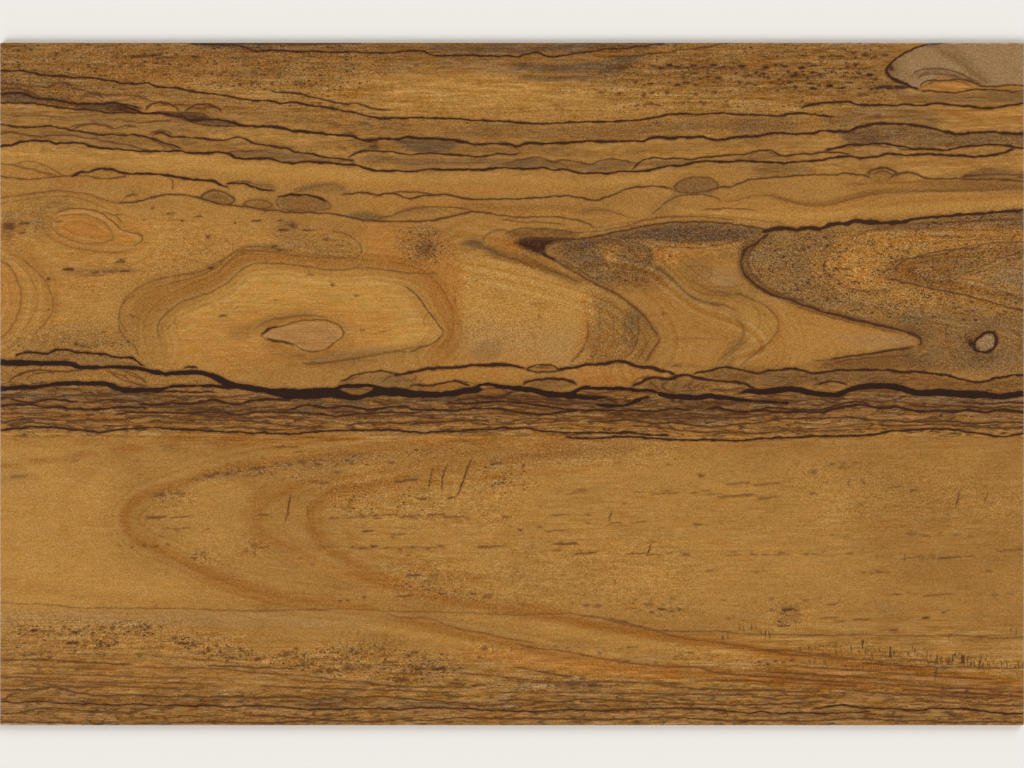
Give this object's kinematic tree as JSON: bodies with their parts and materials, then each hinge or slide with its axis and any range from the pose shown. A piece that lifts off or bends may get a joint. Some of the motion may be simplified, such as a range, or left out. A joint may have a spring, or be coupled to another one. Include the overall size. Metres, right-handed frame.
{
  "type": "quartzite slab",
  "caption": "Large rectangular slab of banded ochre quartzite with a polished face, a flat sawn back and eased edges.",
  "frame": {"origin": "centre of the sawn back face, on the surface that the slab lies on", "axes": "+X along the slab's length and its bedding, +Y across its width towards the end of the pattern with the tan lens, +Z out of the polished face"},
  "size_m": [3, 2, 0.02],
  "materials": {
    "ochre_quartzite": "polished, ochre ground with umber seams, smoky grey beds and rust-brown growth bands"
  },
  "bodies": {
    "root": {"quartzite_slab": "ochre_quartzite"}
  },
  "joints": []
}
